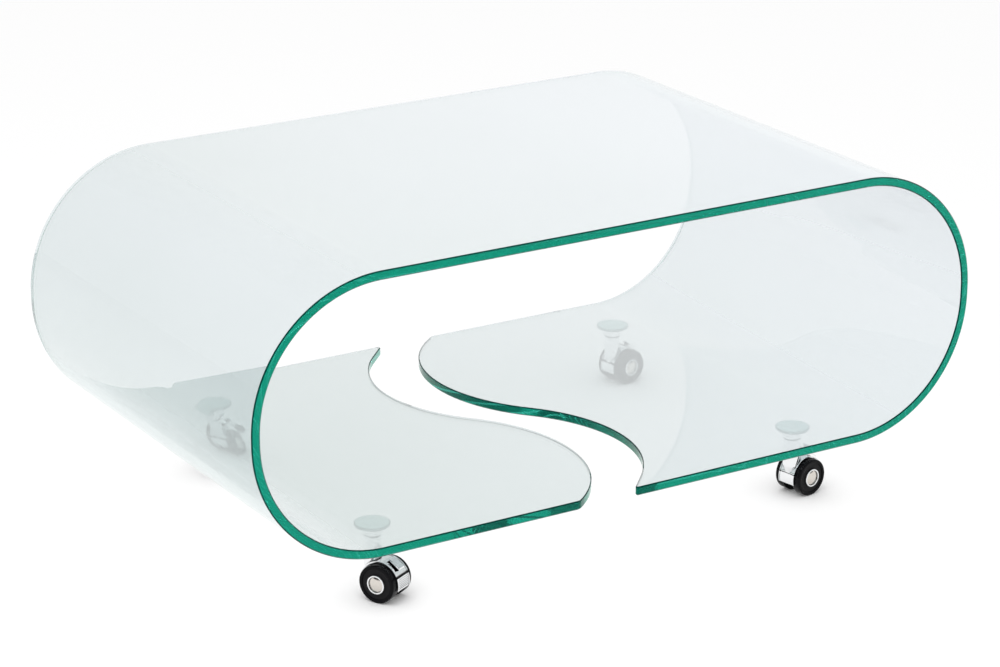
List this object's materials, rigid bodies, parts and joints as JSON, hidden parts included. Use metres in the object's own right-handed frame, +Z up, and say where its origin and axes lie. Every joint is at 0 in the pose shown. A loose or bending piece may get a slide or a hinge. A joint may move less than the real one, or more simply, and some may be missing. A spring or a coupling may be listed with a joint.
{
  "type": "waterfall coffee table",
  "caption": "Low coffee table bent from one sheet of clear glass into a long loop, cut by an S underneath, on small braked twin-wheel castors.",
  "frame": {"origin": "on the floor, under the middle of the table", "axes": "+X along the table's length, +Y towards its rear face, +Z up"},
  "size_m": [0.9, 0.528, 0.381],
  "materials": {
    "glass": "clear polished, green at the edges",
    "clear_adhesive": "clear cured film",
    "bright_chrome": "bright chrome plate",
    "plated_steel": "zinc plated",
    "bush_plastic": "plain",
    "black_tread": "moulded black, glossy"
  },
  "bodies": {
    "table": {"glass_sheet": "glass", "front_left_adhesive_film": "clear_adhesive", "front_left_bonding_plate": "bright_chrome", "front_left_swivel_stem": "plated_steel", "front_left_stem_ring": "plated_steel", "front_right_adhesive_film": "clear_adhesive", "front_right_bonding_plate": "bright_chrome", "front_right_swivel_stem": "plated_steel", "front_right_stem_ring": "plated_steel", "rear_left_adhesive_film": "clear_adhesive", "rear_left_bonding_plate": "bright_chrome", "rear_left_swivel_stem": "plated_steel", "rear_left_stem_ring": "plated_steel", "rear_right_adhesive_film": "clear_adhesive", "rear_right_bonding_plate": "bright_chrome", "rear_right_swivel_stem": "plated_steel", "rear_right_stem_ring": "plated_steel"},
    "front_left_castor": {"front_left_swivel_bush": "bush_plastic", "front_left_castor_hood": "bright_chrome", "front_left_axle": "plated_steel", "front_left_axle_rings": "plated_steel", "front_left_brake_pin": "plated_steel"},
    "front_left_castor_left_wheel": {"front_left_wheel_left": "black_tread", "front_left_hub_cap_left": "bright_chrome"},
    "front_left_castor_right_wheel": {"front_left_wheel_right": "black_tread", "front_left_hub_cap_right": "bright_chrome"},
    "front_left_brake": {"front_left_brake_lever": "bright_chrome"},
    "front_right_castor": {"front_right_swivel_bush": "bush_plastic", "front_right_castor_hood": "bright_chrome", "front_right_axle": "plated_steel", "front_right_axle_rings": "plated_steel", "front_right_brake_pin": "plated_steel"},
    "front_right_castor_left_wheel": {"front_right_wheel_left": "black_tread", "front_right_hub_cap_left": "bright_chrome"},
    "front_right_castor_right_wheel": {"front_right_wheel_right": "black_tread", "front_right_hub_cap_right": "bright_chrome"},
    "front_right_brake": {"front_right_brake_lever": "bright_chrome"},
    "rear_left_castor": {"rear_left_swivel_bush": "bush_plastic", "rear_left_castor_hood": "bright_chrome", "rear_left_axle": "plated_steel", "rear_left_axle_rings": "plated_steel", "rear_left_brake_pin": "plated_steel"},
    "rear_left_castor_left_wheel": {"rear_left_wheel_left": "black_tread", "rear_left_hub_cap_left": "bright_chrome"},
    "rear_left_castor_right_wheel": {"rear_left_wheel_right": "black_tread", "rear_left_hub_cap_right": "bright_chrome"},
    "rear_left_brake": {"rear_left_brake_lever": "bright_chrome"},
    "rear_right_castor": {"rear_right_swivel_bush": "bush_plastic", "rear_right_castor_hood": "bright_chrome", "rear_right_axle": "plated_steel", "rear_right_axle_rings": "plated_steel", "rear_right_brake_pin": "plated_steel"},
    "rear_right_castor_left_wheel": {"rear_right_wheel_left": "black_tread", "rear_right_hub_cap_left": "bright_chrome"},
    "rear_right_castor_right_wheel": {"rear_right_wheel_right": "black_tread", "rear_right_hub_cap_right": "bright_chrome"},
    "rear_right_brake": {"rear_right_brake_lever": "bright_chrome"}
  },
  "joints": [
    {"name": "front_left_swivel", "type": "hinge", "parent": "table", "child": "front_left_castor", "pos_m": [-0.276, -0.1925, 0.052], "axis": [0, 0, 1], "continuous": true},
    {"name": "front_left_left_wheel_spin", "type": "hinge", "parent": "front_left_castor", "child": "front_left_castor_left_wheel", "pos_m": [-0.26877, -0.2061, 0.021], "axis": [0.8829, 0.4695, 0], "continuous": true},
    {"name": "front_left_right_wheel_spin", "type": "hinge", "parent": "front_left_castor", "child": "front_left_castor_right_wheel", "pos_m": [-0.26877, -0.2061, 0.021], "axis": [0.8829, 0.4695, 0], "continuous": true},
    {"name": "front_left_brake_rock", "type": "hinge", "parent": "front_left_castor", "child": "front_left_brake", "pos_m": [-0.26877, -0.2061, 0.035], "axis": [0.8829, 0.4695, 0], "range_deg": [0, 8]},
    {"name": "front_right_swivel", "type": "hinge", "parent": "table", "child": "front_right_castor", "pos_m": [0.261, -0.1985, 0.052], "axis": [0, 0, 1], "continuous": true},
    {"name": "front_right_left_wheel_spin", "type": "hinge", "parent": "front_right_castor", "child": "front_right_castor_left_wheel", "pos_m": [0.27617, -0.19583, 0.021], "axis": [-0.1736, 0.9848, 0], "continuous": true},
    {"name": "front_right_right_wheel_spin", "type": "hinge", "parent": "front_right_castor", "child": "front_right_castor_right_wheel", "pos_m": [0.27617, -0.19583, 0.021], "axis": [-0.1736, 0.9848, 0], "continuous": true},
    {"name": "front_right_brake_rock", "type": "hinge", "parent": "front_right_castor", "child": "front_right_brake", "pos_m": [0.27617, -0.19583, 0.035], "axis": [-0.1736, 0.9848, 0], "range_deg": [0, 8]},
    {"name": "rear_left_swivel", "type": "hinge", "parent": "table", "child": "rear_left_castor", "pos_m": [-0.263, 0.189, 0.052], "axis": [0, 0, 1], "continuous": true},
    {"name": "rear_left_left_wheel_spin", "type": "hinge", "parent": "rear_left_castor", "child": "rear_left_castor_left_wheel", "pos_m": [-0.25023, 0.19761, 0.021], "axis": [-0.5592, 0.829, 0], "continuous": true},
    {"name": "rear_left_right_wheel_spin", "type": "hinge", "parent": "rear_left_castor", "child": "rear_left_castor_right_wheel", "pos_m": [-0.25023, 0.19761, 0.021], "axis": [-0.5592, 0.829, 0], "continuous": true},
    {"name": "rear_left_brake_rock", "type": "hinge", "parent": "rear_left_castor", "child": "rear_left_brake", "pos_m": [-0.25023, 0.19761, 0.035], "axis": [-0.5592, 0.829, 0], "range_deg": [0, 8]},
    {"name": "rear_right_swivel", "type": "hinge", "parent": "table", "child": "rear_right_castor", "pos_m": [0.2785, 0.191, 0.052], "axis": [0, 0, 1], "continuous": true},
    {"name": "rear_right_left_wheel_spin", "type": "hinge", "parent": "rear_right_castor", "child": "rear_right_castor_left_wheel", "pos_m": [0.29371, 0.19341, 0.021], "axis": [-0.1564, 0.9877, 0], "continuous": true},
    {"name": "rear_right_right_wheel_spin", "type": "hinge", "parent": "rear_right_castor", "child": "rear_right_castor_right_wheel", "pos_m": [0.29371, 0.19341, 0.021], "axis": [-0.1564, 0.9877, 0], "continuous": true},
    {"name": "rear_right_brake_rock", "type": "hinge", "parent": "rear_right_castor", "child": "rear_right_brake", "pos_m": [0.29371, 0.19341, 0.035], "axis": [-0.1564, 0.9877, 0], "range_deg": [0, 8]}
  ]
}
